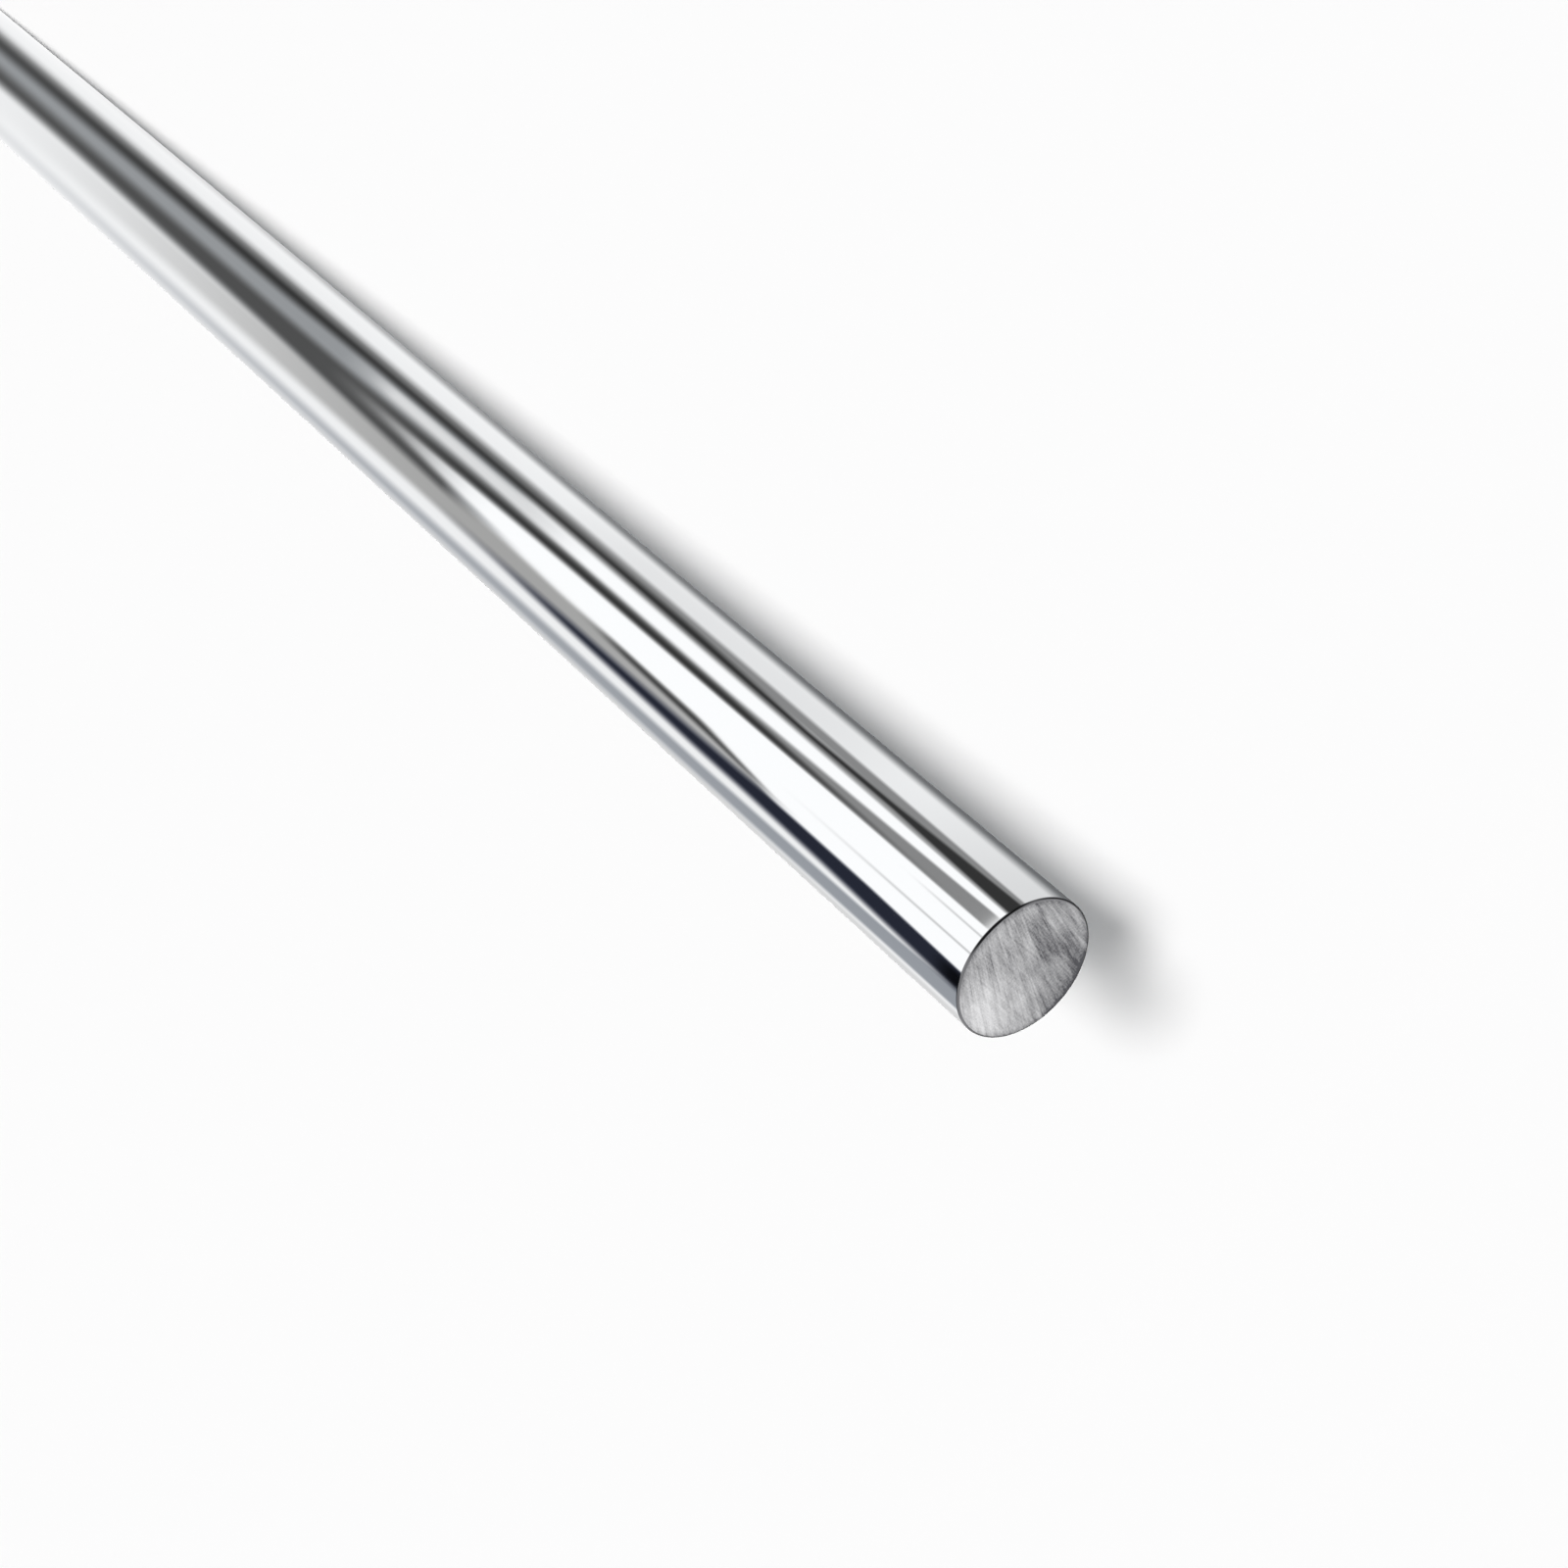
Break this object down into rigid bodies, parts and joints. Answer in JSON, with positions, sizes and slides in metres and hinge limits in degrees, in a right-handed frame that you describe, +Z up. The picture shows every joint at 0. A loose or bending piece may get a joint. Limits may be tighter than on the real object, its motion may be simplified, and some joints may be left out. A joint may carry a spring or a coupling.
{
  "type": "linear shaft",
  "caption": "Straight round chrome-plated steel shaft with sawn ends, for linear bearings, clamps and supports to grip or run on.",
  "frame": {"origin": "on the shaft's axis, at the middle of its length", "axes": "+Z up along the shaft's axis, towards the end that the picture shows, with the shaft stood on its other end; X and Y across it, where the round shaft is alike all round"},
  "size_m": [0.02, 0.02, 0.4],
  "materials": {
    "chrome_plate": "ground and polished hard chrome, with bare sawn steel on the two ends"
  },
  "bodies": {
    "root": {"linear_shaft": "chrome_plate"}
  },
  "joints": []
}
